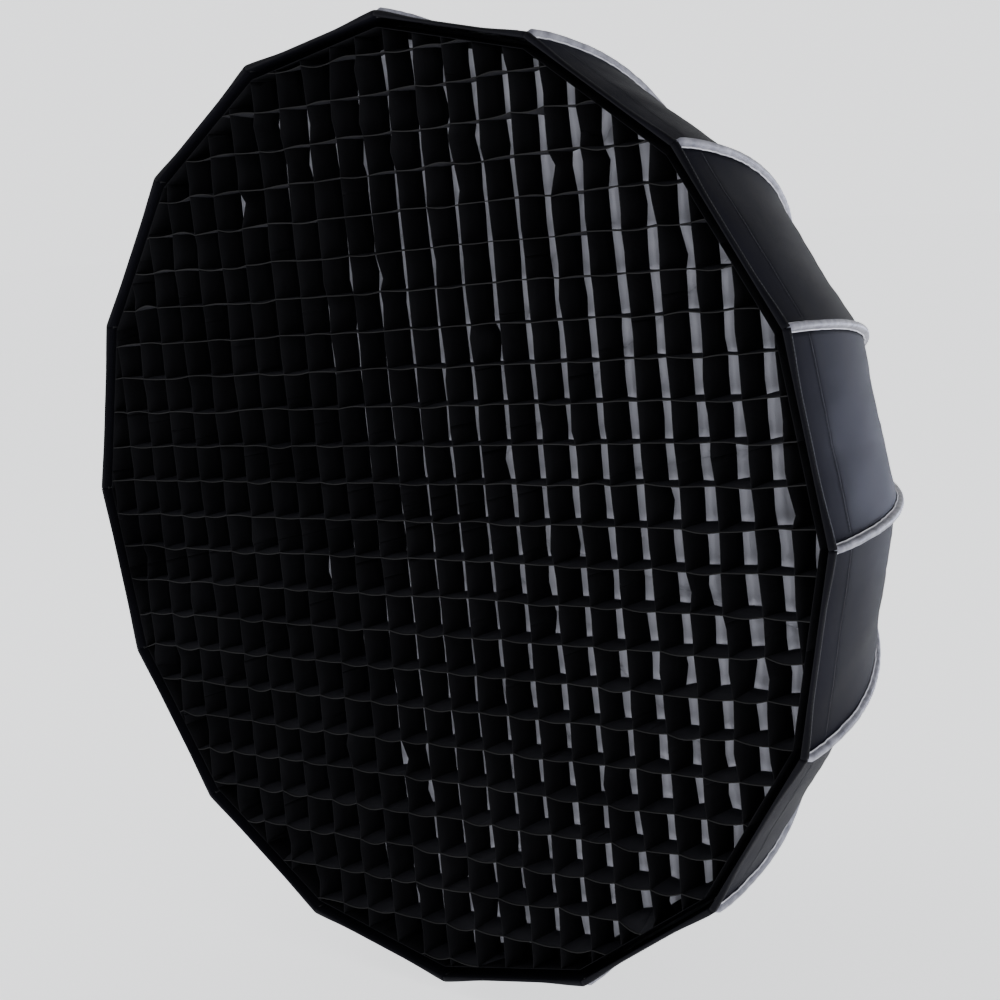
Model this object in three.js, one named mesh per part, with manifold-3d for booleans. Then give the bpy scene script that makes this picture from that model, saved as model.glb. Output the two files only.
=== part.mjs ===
// Deep octabox: a sixteen-rib folding softbox for a studio flash, with a fabric egg-crate grid.
// Millimetres, +Z up. The origin is the centre of the adapter's rear seating plane. The light
// shines towards -Y, so the lamp is behind the origin and the open front is at negative Y.
import * as THREE from 'three';
import { mergeVertices } from 'three/addons/utils/BufferGeometryUtils.js';
import Module from 'manifold-3d';

const wasm = await Module();
wasm.setup();

// ---- driving dimensions -------------------------------------------------------------------
const RIB_COUNT = 16;
const RIB_STEP = (2 * Math.PI) / RIB_COUNT;
const HALF_STEP = RIB_STEP / 2;

const RIM_RADIUS = 525;        // fabric rim, centre to corner
const BOWL_DEPTH = 525;        // depth at which the shell's curve would reach the axis
const BOWL_POWER = 1.8;        // radius = RIM_RADIUS * sqrt(1 - (depth / BOWL_DEPTH) ** BOWL_POWER)
const HINGE_RADIUS = 89;       // the circle that the ribs fold about
const HINGE_Y = -38;
const ROD_INSET = 2;           // a rod's centre lies this far inside the shell's corner line
const ROD_RADIUS = 3;
const ROD_STEPS = 14;

const GORE_THICKNESS = 1.2;
const GORE_EDGE_GAP = 6;       // from a gore's edge to its rib's centre plane
const GORE_INNER_RADIUS = 106;
const GORE_STEPS = 8;

const FRONT_PANEL_DEPTH = 50;  // front diffuser, behind the rim
const FRONT_PANEL_RADIUS = 513;
const INNER_PANEL_DEPTH = 230;
const INNER_PANEL_RADIUS = 395;
const INNER_STRAP_REACH = 448;
const INNER_STRAP_WIDTH = 16;
const INNER_STRAP_HEM = 10;    // sewn onto the panel
const PANEL_THICKNESS = 1.5;

const GRID_PITCH = 41;         // cell size of the egg-crate
const GRID_DEPTH = 40;
const GRID_EVERY = 2;          // this stand-in holds every second strip
const GRID_STRIPS = 12;        // strips each side of the centre one
const GRID_THICKNESS = 1.2;
const GRID_RADIUS = 511;
const GRID_SETBACK = 3;        // front edges, behind the rim plane
const GRID_TWIST = THREE.MathUtils.degToRad(2.55);
const GRID_SHIFT = { x: -12, z: -7.5 };  // the cells aren't centred on the rim

const THROAT_RADIUS = 56;
const TUBE_RADIUS = 64;
const TUBE_FRONT = -52;
const FLANGE_RADIUS = 76;
const FLANGE_THICKNESS = 7;
const BAYONET_COUNT = 3;
const BAYONET_ARC = THREE.MathUtils.degToRad(38);
const BAYONET_REACH = 11;
const CLAW_INNER_RADIUS = 58;
const BAYONET_LIP = 5;
const BAYONET_LIP_THICKNESS = 4;

const RETAINER_RADIUS = 73;    // holds the hub on the adapter's tube
const RETAINER_THICKNESS = 3;
const RETAINER_GAP = 0.4;

const HUB_INNER_RADIUS = 65;
const HUB_RADIUS = 74;
const HUB_REAR = -24;
const HUB_FRONT = -50;
const LUG_REACH = 95;
const SLOT_WIDTH = 10;
const LUG_REAR = -31;
const LUG_FRONT = -45;

const WIRE_RADIUS = 1.5;
const WIRE_HOLE_RADIUS = 2;
const KNUCKLE_RADIUS = 7;
const FOOT_WIDTH = 8;
const SOCKET_RADIUS = 5;
const SOCKET_START = 98;
const SOCKET_LENGTH = 30;
const SOCKET_FLOOR = 4;        // the rod starts this far into its socket
const ARM_THICKNESS = 8;
const ARM_OVERLAP = 6;
const HEEL_RADIUS = 77.5;
const HEEL_THICKNESS = 5;

const LOCK_REAR = -26.5;
const LOCK_FRONT = -29.5;
const LOCK_INNER_RADIUS = 76;
const LOCK_RADIUS = 84.5;

const COVER_REAR = -16;
const COVER_FRONT = -18.5;
const COVER_INNER_RADIUS = 66;
const COVER_RADIUS = 105;
const SKIRT_THICKNESS = 3;
const SKIRT_FRONT = -29;
const COLLAR_INNER_RADIUS = 77.5;
const COLLAR_RADIUS = 85;
const COLLAR_REAR = -2;

const BUTTON_WIDTH = 18;
const BUTTON_HEIGHT = 8;
const BUTTON_Y = -9;
const BUTTON_INNER = 80;
const BUTTON_OUTER = 94;
const SLIDE_GAP = 0.4;
const WINDOW_CUT = 30;         // length of the cutting blocks for the collar's windows and hole


const SCREW_Y = -9;
const SCREW_RADIUS = 3;
const SCREW_TIP = 76.6;
const KNOB_INNER = 107;
const KNOB_OUTER = 125;
const KNOB_RADIUS = 9;
const KNOB_LOBES = 6;
const KNOB_LOBE_DEPTH = 2.4;
const POINTS_PER_LOBE = 4;

const ROD_END_DEPTH = 6;       // the rod stops this far behind the rim plane
const CAP_RADIUS = 3.6;
const CAP_LENGTH = 12;
const CAP_FLOOR = 1;           // thickness of the cap over the rod's end

const TAB_WIDTH = 24;          // corner tabs, just behind the front diffuser
const TAB_INNER = 470;
const TAB_OUTER = 512;
const TAB_THICKNESS = 2;
const TAB_GAP = 0.6;

const RING_SEGMENTS = 32;
const OVERLAP = 1;             // how far the solids of one part run into each other
const CUT_MARGIN = 1;          // how far a cutting solid runs past a face

// ---- the shell's curve --------------------------------------------------------------------
// s = 0 is the rim and s = PI / 2 would be the axis.
const radiusAt = (s, inset = 0) => (RIM_RADIUS - inset) * Math.cos(s);
const depthAt = (s) => BOWL_DEPTH * Math.sin(s) ** (2 / BOWL_POWER);
const paramAtRadius = (radius, inset = 0) => Math.acos(radius / (RIM_RADIUS - inset));
const paramAtDepth = (depth) => Math.asin((depth / BOWL_DEPTH) ** (BOWL_POWER / 2));

const HINGE_DEPTH = depthAt(paramAtRadius(HINGE_RADIUS, ROD_INSET));
const RIM_Y = HINGE_Y - HINGE_DEPTH;
const yAt = (s) => RIM_Y + depthAt(s);

class RodCurve extends THREE.Curve {
  constructor(from, to) {
    super();
    this.from = from;
    this.to = to;
  }

  getPoint(t, target = new THREE.Vector3()) {
    const s = THREE.MathUtils.lerp(this.from, this.to, t);
    return target.set(0, yAt(s), radiusAt(s, ROD_INSET));
  }
}

// ---- materials ----------------------------------------------------------------------------
const material = (color, roughness, metalness = 0) =>
  new THREE.MeshStandardMaterial({ color, roughness, metalness });

const blackNylon = material(0x1c1c22, 0.7);
const silverCloth = material(0xc9cdd6, 0.6);
const whiteCloth = material(0xe9ebef, 0.85);
const gridCloth = material(0x0c0c0e, 0.85);
const fibreRod = material(0x26262a, 0.45);
const blackPlastic = material(0x17171a, 0.5);
const blackMetal = material(0x202024, 0.4, 0.6);
const bareMetal = material(0xa7aab0, 0.3, 0.95);
const redPlastic = material(0xa8201c, 0.4);

// ---- solids -------------------------------------------------------------------------------
function toSolid(geometry) {
  const bare = geometry.clone();
  bare.deleteAttribute('normal');
  bare.deleteAttribute('uv');
  const merged = mergeVertices(bare, 1e-4);
  const vertProperties = new Float32Array(merged.attributes.position.array);
  const triVerts = new Uint32Array(merged.index.array);
  return new wasm.Manifold(new wasm.Mesh({ numProp: 3, vertProperties, triVerts }));
}

function toGeometry(solid) {
  const mesh = solid.getMesh();
  const geometry = new THREE.BufferGeometry();
  geometry.setAttribute('position', new THREE.BufferAttribute(mesh.vertProperties, 3));
  geometry.setIndex(new THREE.BufferAttribute(mesh.triVerts, 1));
  const flat = geometry.toNonIndexed();
  flat.computeVertexNormals();
  return flat;
}

const joined = (solids) => solids.reduce((sum, solid) => sum.add(solid));

// A closed ring about the Y axis, between two radii and two places along Y.
function ring(inner, outer, front, rear, segments = RING_SEGMENTS) {
  const profile = [[inner, front], [outer, front], [outer, rear], [inner, rear], [inner, front]];
  return new THREE.LatheGeometry(profile.map(([x, y]) => new THREE.Vector2(x, y)), segments);
}

function block(xSize, ySize, zSize, x, y, z) {
  return new THREE.BoxGeometry(xSize, ySize, zSize).translate(x, y, z);
}

// A cylinder along X, so tangential at the top rib.
const crossPin = (radius, width, y, z, sides) =>
  new THREE.CylinderGeometry(radius, radius, width, sides).rotateZ(Math.PI / 2).translate(0, y, z);

// A cylinder along Z, so radial at the top rib.
const radialPin = (radius, inner, outer, y, sides) =>
  new THREE.CylinderGeometry(radius, radius, outer - inner, sides)
    .rotateX(Math.PI / 2).translate(0, y, (inner + outer) / 2);

// A flat outline of [x, z] points, as a closed plate between two places along Y.
function prism(outline, front, rear) {
  const shape = new THREE.Shape(outline.map(([x, z]) => new THREE.Vector2(x, z)));
  const options = { depth: rear - front, bevelEnabled: false };
  return new THREE.ExtrudeGeometry(shape, options).rotateX(Math.PI / 2).translate(0, rear, 0);
}

// A point on the front view, at a radius and an angle from +Z towards +X.
const polar = (radius, angle) => [radius * Math.sin(angle), radius * Math.cos(angle)];

const angleOf = (index) => index * RIB_STEP;
const label = (index) => String(index + 1).padStart(2, '0');

const octabox = new THREE.Group();

function addPart(name, geometry, finish, angle = 0) {
  const mesh = new THREE.Mesh(geometry, finish);
  mesh.name = name;
  mesh.rotation.y = angle;
  octabox.add(mesh);
}

// ---- adapter: a three-tab bayonet ring that stays on the lamp --------------------------------
// A sector of a ring about the Y axis, as a solid.
function ringSector(inner, outer, front, rear, centre, arc) {
  const shape = new THREE.Shape();
  shape.absarc(0, 0, outer, centre - arc / 2, centre + arc / 2, false);
  shape.absarc(0, 0, inner, centre + arc / 2, centre - arc / 2, true);
  const options = { depth: rear - front, bevelEnabled: false, curveSegments: 3 };
  const sector = new THREE.ExtrudeGeometry(shape, options);
  return toSolid(sector.rotateX(-Math.PI / 2).translate(0, front, 0));
}

function adapterRing() {
  const flange = toSolid(ring(THROAT_RADIUS, FLANGE_RADIUS, -FLANGE_THICKNESS, 0));
  const tube = toSolid(ring(THROAT_RADIUS, TUBE_RADIUS, TUBE_FRONT, -OVERLAP));
  const claws = [];
  for (let i = 0; i < BAYONET_COUNT; i += 1) {
    const centre = Math.PI / 2 + (i * 2 * Math.PI) / BAYONET_COUNT;
    const lipFront = BAYONET_REACH - BAYONET_LIP_THICKNESS;
    const lipRadius = TUBE_RADIUS + BAYONET_LIP;
    claws.push(ringSector(CLAW_INNER_RADIUS, TUBE_RADIUS, -OVERLAP, BAYONET_REACH, centre, BAYONET_ARC));
    claws.push(ringSector(TUBE_RADIUS - OVERLAP, lipRadius, lipFront, BAYONET_REACH, centre, BAYONET_ARC));
  }
  return toGeometry(joined([flange, tube, ...claws]));
}

function retainingRing() {
  const rear = TUBE_FRONT - RETAINER_GAP;
  return ring(THROAT_RADIUS, RETAINER_RADIUS, rear - RETAINER_THICKNESS, rear);
}

// ---- hub: the ring that carries the ribs -----------------------------------------------------
// Sixteen straight stretches, each square to its rib.
function wireSolid(radius, sides) {
  const section = [];
  for (let i = 0; i <= sides; i += 1) {
    const turn = (i * 2 * Math.PI) / sides;
    const reach = HINGE_RADIUS / Math.cos(HALF_STEP);
    section.push(new THREE.Vector2(reach + radius * Math.cos(turn), HINGE_Y + radius * Math.sin(turn)));
  }
  return toSolid(new THREE.LatheGeometry(section, RIB_COUNT).rotateY(HALF_STEP));
}

function hubRing() {
  const core = toSolid(ring(HUB_INNER_RADIUS, HUB_RADIUS, HUB_FRONT, HUB_REAR));
  const disc = toSolid(ring(HUB_RADIUS - OVERLAP, LUG_REACH, LUG_FRONT, LUG_REAR, RIB_COUNT));
  const slots = [];
  for (let i = 0; i < RIB_COUNT; i += 1) {
    const length = 2 * (LUG_REACH - HUB_RADIUS);
    const slot = block(SLOT_WIDTH, HUB_REAR - HUB_FRONT, length, 0, HINGE_Y, HUB_RADIUS + length / 2);
    slots.push(toSolid(slot.rotateY(angleOf(i))));
  }
  const blocks = disc.subtract(joined(slots)).subtract(wireSolid(WIRE_HOLE_RADIUS, 6));
  return toGeometry(core.add(blocks));
}

// Rear cover: a plate over the rib feet, an outer skirt, and a collar round the adapter's flange
// with windows for the two buttons and a hole for the clamp screw.
const BUTTON_ANGLES = { left: (-4.5) * RIB_STEP, right: 3.5 * RIB_STEP };
const SCREW_ANGLE = 8.5 * RIB_STEP;

function hubCover() {
  const plate = toSolid(ring(COVER_INNER_RADIUS, COVER_RADIUS, COVER_FRONT, COVER_REAR));
  const skirt = toSolid(ring(COVER_RADIUS - SKIRT_THICKNESS, COVER_RADIUS, SKIRT_FRONT, COVER_REAR));
  const collar = toSolid(ring(COLLAR_INNER_RADIUS, COLLAR_RADIUS, COVER_FRONT, COLLAR_REAR));
  const openWidth = BUTTON_WIDTH + 2 * SLIDE_GAP;
  const openHeight = BUTTON_HEIGHT + 2 * SLIDE_GAP;
  const windows = Object.values(BUTTON_ANGLES).map((angle) =>
    toSolid(block(openWidth, openHeight, WINDOW_CUT, 0, BUTTON_Y, COLLAR_RADIUS).rotateY(angle)));
  const holeEnds = [COLLAR_RADIUS - WINDOW_CUT / 2, COLLAR_RADIUS + WINDOW_CUT / 2];
  const hole = toSolid(radialPin(SCREW_RADIUS + SLIDE_GAP, ...holeEnds, SCREW_Y, 12)
    .rotateY(SCREW_ANGLE));
  return toGeometry(joined([plate, skirt, collar]).subtract(joined([...windows, hole])));
}

function releaseButton() {
  const middle = (BUTTON_OUTER + BUTTON_INNER) / 2;
  return block(BUTTON_WIDTH, BUTTON_HEIGHT, BUTTON_OUTER - BUTTON_INNER, 0, BUTTON_Y, middle);
}

function clampScrew() {
  const shank = toSolid(radialPin(SCREW_RADIUS, SCREW_TIP, KNOB_INNER + OVERLAP, SCREW_Y, 12));
  const shape = new THREE.Shape();
  const points = KNOB_LOBES * POINTS_PER_LOBE;
  for (let i = 0; i < points; i += 1) {
    const turn = (i * 2 * Math.PI) / points;
    const radius = KNOB_RADIUS - KNOB_LOBE_DEPTH * (1 - Math.cos(KNOB_LOBES * turn)) / 2;
    const move = i === 0 ? 'moveTo' : 'lineTo';
    shape[move](radius * Math.cos(turn), radius * Math.sin(turn));
  }
  const options = { depth: KNOB_OUTER - KNOB_INNER, bevelEnabled: false };
  const knob = toSolid(new THREE.ExtrudeGeometry(shape, options).translate(0, SCREW_Y, KNOB_INNER));
  return toGeometry(shank.add(knob));
}

// ---- ribs ---------------------------------------------------------------------------------
// One rib, at the top: a rod crimped into a foot that turns on the hinge wire. The foot's heel
// points inwards, where the lock ring stops it.
function rib() {
  const start = paramAtRadius(SOCKET_START + SOCKET_FLOOR, ROD_INSET);
  const end = paramAtDepth(ROD_END_DEPTH);
  const section = new THREE.Shape();
  section.absarc(0, 0, ROD_RADIUS, 0, 2 * Math.PI, false);
  const options = {
    steps: ROD_STEPS, bevelEnabled: false, curveSegments: 3, extrudePath: new RodCurve(start, end),
  };
  const rod = toSolid(new THREE.ExtrudeGeometry(section, options));

  const socketParam = paramAtRadius(SOCKET_START, ROD_INSET);
  const direction = new RodCurve(socketParam, end).getTangent(0);
  const tilt = Math.atan2(-direction.y, direction.z);
  const socket = toSolid(new THREE.CylinderGeometry(SOCKET_RADIUS, SOCKET_RADIUS, SOCKET_LENGTH, 8)
    .rotateX(Math.PI / 2).translate(0, 0, SOCKET_LENGTH / 2).rotateX(tilt)
    .translate(0, yAt(socketParam), SOCKET_START));

  const knuckle = toSolid(crossPin(KNUCKLE_RADIUS, FOOT_WIDTH, HINGE_Y, HINGE_RADIUS, 12));
  const armLength = SOCKET_START + ARM_OVERLAP - HINGE_RADIUS;
  const arm = toSolid(block(FOOT_WIDTH, ARM_THICKNESS, armLength, 0, 0, armLength / 2)
    .rotateX(tilt).translate(0, HINGE_Y, HINGE_RADIUS));
  const heelRear = HINGE_Y + KNUCKLE_RADIUS;
  const heel = toSolid(block(FOOT_WIDTH, HEEL_THICKNESS, HINGE_RADIUS - HEEL_RADIUS,
    0, heelRear - HEEL_THICKNESS / 2, (HINGE_RADIUS + HEEL_RADIUS) / 2));
  const hole = toSolid(crossPin(WIRE_HOLE_RADIUS, FOOT_WIDTH + 2 * CUT_MARGIN, HINGE_Y, HINGE_RADIUS, 8));
  const cap = toSolid(new THREE.CylinderGeometry(CAP_RADIUS, CAP_RADIUS, CAP_LENGTH, 8)
    .translate(0, yAt(end) + CAP_LENGTH / 2 - CAP_FLOOR, radiusAt(end, ROD_INSET)));
  return toGeometry(joined([rod, cap, socket, knuckle, arm, heel]).subtract(hole));
}

// ---- soft panels ----------------------------------------------------------------------------
// One gore between the top rib and the next: a flat-across panel that follows the ribs' curve.
function gore() {
  const end = paramAtRadius(GORE_INNER_RADIUS);
  const positions = [];
  const sideways = new THREE.Vector3(Math.cos(HALF_STEP), 0, -Math.sin(HALF_STEP));
  const outwards = new THREE.Vector3(Math.sin(HALF_STEP), 0, Math.cos(HALF_STEP));
  for (let i = 0; i <= GORE_STEPS; i += 1) {
    const s = (end * i) / GORE_STEPS;
    const half = radiusAt(s) * Math.sin(HALF_STEP) - GORE_EDGE_GAP;
    const reach = radiusAt(s) * Math.cos(HALF_STEP);
    const slope = new THREE.Vector2(-Math.sin(s), Math.max(Math.cos(s), 0.05));
    const inward = new THREE.Vector2(slope.y, -slope.x).normalize().multiplyScalar(-GORE_THICKNESS);
    for (const layer of [0, 1]) {
      for (const side of [-1, 1]) {
        const point = sideways.clone().multiplyScalar(side * half)
          .addScaledVector(outwards, reach + layer * inward.x);
        point.y = yAt(s) + layer * inward.y;
        positions.push(point.x, point.y, point.z);
      }
    }
  }
  const index = [];
  const corner = (row, layer, side) => row * 4 + layer * 2 + side;
  const quad = (a, b, c, d) => index.push(a, b, c, a, c, d);
  for (let row = 0; row < GORE_STEPS; row += 1) {
    const next = row + 1;
    quad(corner(row, 0, 0), corner(row, 0, 1), corner(next, 0, 1), corner(next, 0, 0));
    quad(corner(row, 1, 1), corner(row, 1, 0), corner(next, 1, 0), corner(next, 1, 1));
    quad(corner(row, 0, 1), corner(row, 1, 1), corner(next, 1, 1), corner(next, 0, 1));
    quad(corner(row, 1, 0), corner(row, 0, 0), corner(next, 0, 0), corner(next, 1, 0));
  }
  quad(corner(0, 1, 0), corner(0, 1, 1), corner(0, 0, 1), corner(0, 0, 0));
  quad(corner(GORE_STEPS, 0, 0), corner(GORE_STEPS, 0, 1), corner(GORE_STEPS, 1, 1), corner(GORE_STEPS, 1, 0));
  const geometry = new THREE.BufferGeometry();
  geometry.setAttribute('position', new THREE.Float32BufferAttribute(positions, 3));
  geometry.setIndex(index);
  return toGeometry(toSolid(geometry));
}

const corners = (radius) =>
  Array.from({ length: RIB_COUNT }, (_, i) => polar(radius, -angleOf(i)));

function frontDiffuser() {
  const front = RIM_Y + FRONT_PANEL_DEPTH;
  return prism(corners(FRONT_PANEL_RADIUS), front, front + PANEL_THICKNESS);
}

// A tab on a corner of the front diffuser, at the top rib. It ties the panel to the rod's end, and
// turns on it as the frame folds.
function cornerTab() {
  const front = RIM_Y + FRONT_PANEL_DEPTH + PANEL_THICKNESS + TAB_GAP;
  const length = TAB_OUTER - TAB_INNER;
  return block(TAB_WIDTH, TAB_THICKNESS, length, 0, front + TAB_THICKNESS / 2, TAB_INNER + length / 2);
}

// A smaller diffuser half way back, hung from the rods by sixteen straps.
function innerDiffuser() {
  const front = RIM_Y + INNER_PANEL_DEPTH;
  const plate = toSolid(prism(corners(INNER_PANEL_RADIUS), front, front + PANEL_THICKNESS));
  const straps = Array.from({ length: RIB_COUNT }, (_, i) => {
    const length = INNER_STRAP_REACH - INNER_PANEL_RADIUS + INNER_STRAP_HEM;
    const middle = INNER_STRAP_REACH - length / 2;
    const strap = block(INNER_STRAP_WIDTH, PANEL_THICKNESS, length, 0, front + PANEL_THICKNESS / 2, middle);
    return toSolid(strap.rotateY(angleOf(i)));
  });
  return toGeometry(joined([plate, ...straps]));
}

// The egg-crate: crossing strips stood on edge, inside a band that follows the rim.
function grid() {
  const front = RIM_Y + GRID_SETBACK;
  const rear = front + GRID_DEPTH;
  const outer = toSolid(prism(corners(GRID_RADIUS), front, rear));
  const inner = toSolid(prism(corners(GRID_RADIUS - GRID_THICKNESS), front - CUT_MARGIN, rear + CUT_MARGIN));
  const band = outer.subtract(inner);
  const strips = [];
  for (let i = -GRID_STRIPS; i <= GRID_STRIPS; i += GRID_EVERY) {
    const middle = (front + rear) / 2;
    const length = 2 * GRID_RADIUS;
    const upright = block(GRID_THICKNESS, GRID_DEPTH, length, i * GRID_PITCH + GRID_SHIFT.x, middle, 0);
    const level = block(length, GRID_DEPTH, GRID_THICKNESS, 0, middle, i * GRID_PITCH + GRID_SHIFT.z);
    strips.push(toSolid(upright.rotateY(-GRID_TWIST)), toSolid(level.rotateY(-GRID_TWIST)));
  }
  return toGeometry(joined(strips).intersect(outer).add(band));
}

// ---- assembly -------------------------------------------------------------------------------
addPart('adapter_ring', adapterRing(), bareMetal);
addPart('retaining_ring', retainingRing(), bareMetal);
addPart('hub_ring', hubRing(), blackMetal);
addPart('hinge_wire', toGeometry(wireSolid(WIRE_RADIUS, 6)), bareMetal);
addPart('hub_cover', hubCover(), blackPlastic);
addPart('lock_ring', ring(LOCK_INNER_RADIUS, LOCK_RADIUS, LOCK_FRONT, LOCK_REAR), bareMetal);
addPart('release_button_left', releaseButton(), redPlastic, BUTTON_ANGLES.left);
addPart('release_button_right', releaseButton(), redPlastic, BUTTON_ANGLES.right);
addPart('clamp_screw', clampScrew(), blackPlastic, SCREW_ANGLE);
addPart('front_diffuser', frontDiffuser(), whiteCloth);
addPart('inner_diffuser', innerDiffuser(), whiteCloth);
addPart('grid', grid(), gridCloth);

for (let i = 0; i < RIB_COUNT; i += 1) {
  addPart(`rib_${label(i)}`, rib(), fibreRod, angleOf(i));
  addPart(`corner_tab_${label(i)}`, cornerTab(), silverCloth, angleOf(i));
  addPart(`gore_${label(i)}`, gore(), blackNylon, angleOf(i));
}

export default octabox;
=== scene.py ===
"""A folding sixteen-rib octabox with its fabric grid, dressed around its CAD frame.

Metres, +Z up. The optical axis is Y: the lamp is behind the origin and the open front faces -Y.
Ribs are numbered from the top, clockwise as the front is seen, and gore 1 is between ribs 1 and 2.
"""
import math

import bmesh
import bpy
import numpy as np
from mathutils import Matrix, Vector, noise


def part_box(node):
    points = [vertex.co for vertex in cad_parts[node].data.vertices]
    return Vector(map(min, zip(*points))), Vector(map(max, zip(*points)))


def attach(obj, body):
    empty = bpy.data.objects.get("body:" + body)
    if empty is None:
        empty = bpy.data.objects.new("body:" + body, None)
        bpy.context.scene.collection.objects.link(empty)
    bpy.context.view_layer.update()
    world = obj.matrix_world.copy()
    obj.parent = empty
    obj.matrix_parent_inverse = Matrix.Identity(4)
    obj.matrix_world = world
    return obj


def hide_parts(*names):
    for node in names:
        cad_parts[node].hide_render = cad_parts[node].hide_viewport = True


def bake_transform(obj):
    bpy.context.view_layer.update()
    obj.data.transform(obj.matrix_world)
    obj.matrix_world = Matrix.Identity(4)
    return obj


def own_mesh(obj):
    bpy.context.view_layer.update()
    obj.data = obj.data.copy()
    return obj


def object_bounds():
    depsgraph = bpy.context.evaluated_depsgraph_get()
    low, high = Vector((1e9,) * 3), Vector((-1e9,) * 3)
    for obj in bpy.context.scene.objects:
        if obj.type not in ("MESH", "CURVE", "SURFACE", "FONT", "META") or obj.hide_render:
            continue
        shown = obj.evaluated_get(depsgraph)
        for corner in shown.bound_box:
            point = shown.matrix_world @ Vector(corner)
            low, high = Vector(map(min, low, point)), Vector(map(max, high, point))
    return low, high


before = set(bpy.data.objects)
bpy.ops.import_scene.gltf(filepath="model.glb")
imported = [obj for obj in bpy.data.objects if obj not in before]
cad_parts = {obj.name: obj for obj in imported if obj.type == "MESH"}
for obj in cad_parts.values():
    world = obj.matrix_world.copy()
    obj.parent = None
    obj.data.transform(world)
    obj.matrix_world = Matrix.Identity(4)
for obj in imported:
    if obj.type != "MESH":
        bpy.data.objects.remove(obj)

CAD_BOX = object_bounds()

# ---- driving dimensions --------
RIB_COUNT = 16
STEP = 2 * math.pi / RIB_COUNT
HALF_STEP = STEP / 2

RIM_RADIUS = 0.525      # the shell's curve, as the CAD has it
BOWL_DEPTH = 0.525
BOWL_POWER = 1.8
RIM_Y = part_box("gore_01")[0].y

SEAM_DEPTH = 0.047      # the stitched line behind the rim
GORE_END_RADIUS = 0.099
CLOTH_DROP = 0.0038     # the cloth passes this far inside the rib's curve, under the rod
RIM_RISE = 0.0020       # and is this much nearer to it at the rim
RIM_RISE_REACH = 0.09
GORE_SAG = 0.009        # the sag of a gore, as a share of its width
CLOTH = 0.0006
EASE = 0.0006           # the rounding of turned and moulded edges
FINE_EASE = 0.0003

FRONT_PANEL_RADIUS = 0.513
INNER_PANEL_RADIUS = 0.395
STRAP_REACH = (0.39, 0.446)      # the inner panel's straps, along a radius
STRAP_WIDTH = 0.016
STRAP_THICKNESS = 0.0012

GRID_PITCH = 0.041
GRID_DEPTH = 0.040
GRID_STRIPS = 12        # each side of the centre one
GRID_SETBACK = 0.003
GRID_RADIUS = 0.511
GRID_TWIST = math.radians(2.55)
GRID_SHIFT = (-0.012, -0.0075)   # the cells aren't centred on the rim
SEED = 4


# ---- the shell's curve --------
def rib_radius(s):
    """Radius of the rib's curve, from s = 0 at the rim towards pi / 2 on the axis."""
    return RIM_RADIUS * math.cos(s)


def rib_depth(s):
    return BOWL_DEPTH * math.sin(s) ** (2 / BOWL_POWER)


def param_at_radius(radius):
    return math.acos(radius / RIM_RADIUS)


def param_at_depth(depth):
    return math.asin((depth / BOWL_DEPTH) ** (BOWL_POWER / 2))


def rib_normal(s):
    """Outward normal of the rib's curve, as (radial, along Y)."""
    step = 1e-3
    low, high = max(s - step, 0), s + step
    run = Vector((rib_radius(high) - rib_radius(low), rib_depth(high) - rib_depth(low)))
    return Vector((run.y, -run.x)).normalized()


def smooth(low, high, x):
    t = min(max((x - low) / (high - low), 0.0), 1.0)
    return t * t * (3 - 2 * t)


def polar(radius, angle, y):
    """A point at an angle from +Z towards +X."""
    return Vector((radius * math.sin(angle), y, radius * math.cos(angle)))


def tangent(angle):
    """The level direction square to the radius at an angle, towards the next rib."""
    return Vector((math.cos(angle), 0, -math.sin(angle)))


def beside(angle, reach, side, y):
    """A point so far out along the radius at an angle, and so far to the side of it."""
    return polar(reach, angle, y) + tangent(angle) * side


def rib_angle(index):
    return index * STEP


def label(index):
    return f"{index % RIB_COUNT + 1:02d}"


# ---- meshes --------
def make_piece(name, points, faces, materials, slots=None):
    mesh = bpy.data.meshes.new(name)
    mesh.from_pydata([tuple(p) for p in points], [], faces)
    mesh.validate()
    for material in materials:
        mesh.materials.append(material)
    if slots is not None:
        mesh.polygons.foreach_set("material_index", slots)
    mesh.polygons.foreach_set("use_smooth", [True] * len(mesh.polygons))
    mesh.update()
    piece = bpy.data.objects.new(name, mesh)
    bpy.context.scene.collection.objects.link(piece)
    return piece


def sheet_faces(rows, columns):
    """Faces of a rows x columns lattice of points, stored row by row."""
    starts = [r * columns + c for r in range(rows - 1) for c in range(columns - 1)]
    return [(k, k + 1, k + columns + 1, k + columns) for k in starts]


def sweep(sections, start):
    """Faces of a closed tube through equal rings of points, with both ends capped. `start` is the
    number of the tube's first point."""
    count, size = len(sections), len(sections[0])
    faces = []
    for r in range(count - 1):
        for c in range(size):
            a, b = start + r * size + c, start + r * size + (c + 1) % size
            faces.append((a, b, b + size, a + size))
    faces.append(tuple(start + c for c in reversed(range(size))))
    faces.append(tuple(start + (count - 1) * size + c for c in range(size)))
    return faces


def solid_piece(name, tubes, materials, slots=None):
    """One piece made of several swept tubes. slots gives each tube's material."""
    points, faces, indices = [], [], []
    for number, sections in enumerate(tubes):
        made = sweep(sections, len(points))
        faces += made
        indices += [slots[number] if slots else 0] * len(made)
        points += [p for ring in sections for p in ring]
    piece = make_piece(name, points, faces, materials, slots=indices)
    face_outwards(piece)
    return piece


def add_uv(piece, coordinates):
    """Cloth coordinates in metres, so that a weave follows the cloth."""
    layer = piece.data.uv_layers.new(name="cloth")
    loops = np.empty(len(piece.data.loops), np.int32)
    piece.data.loops.foreach_get("vertex_index", loops)
    layer.data.foreach_set("uv", np.asarray(coordinates, np.float32)[loops].ravel())


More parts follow.
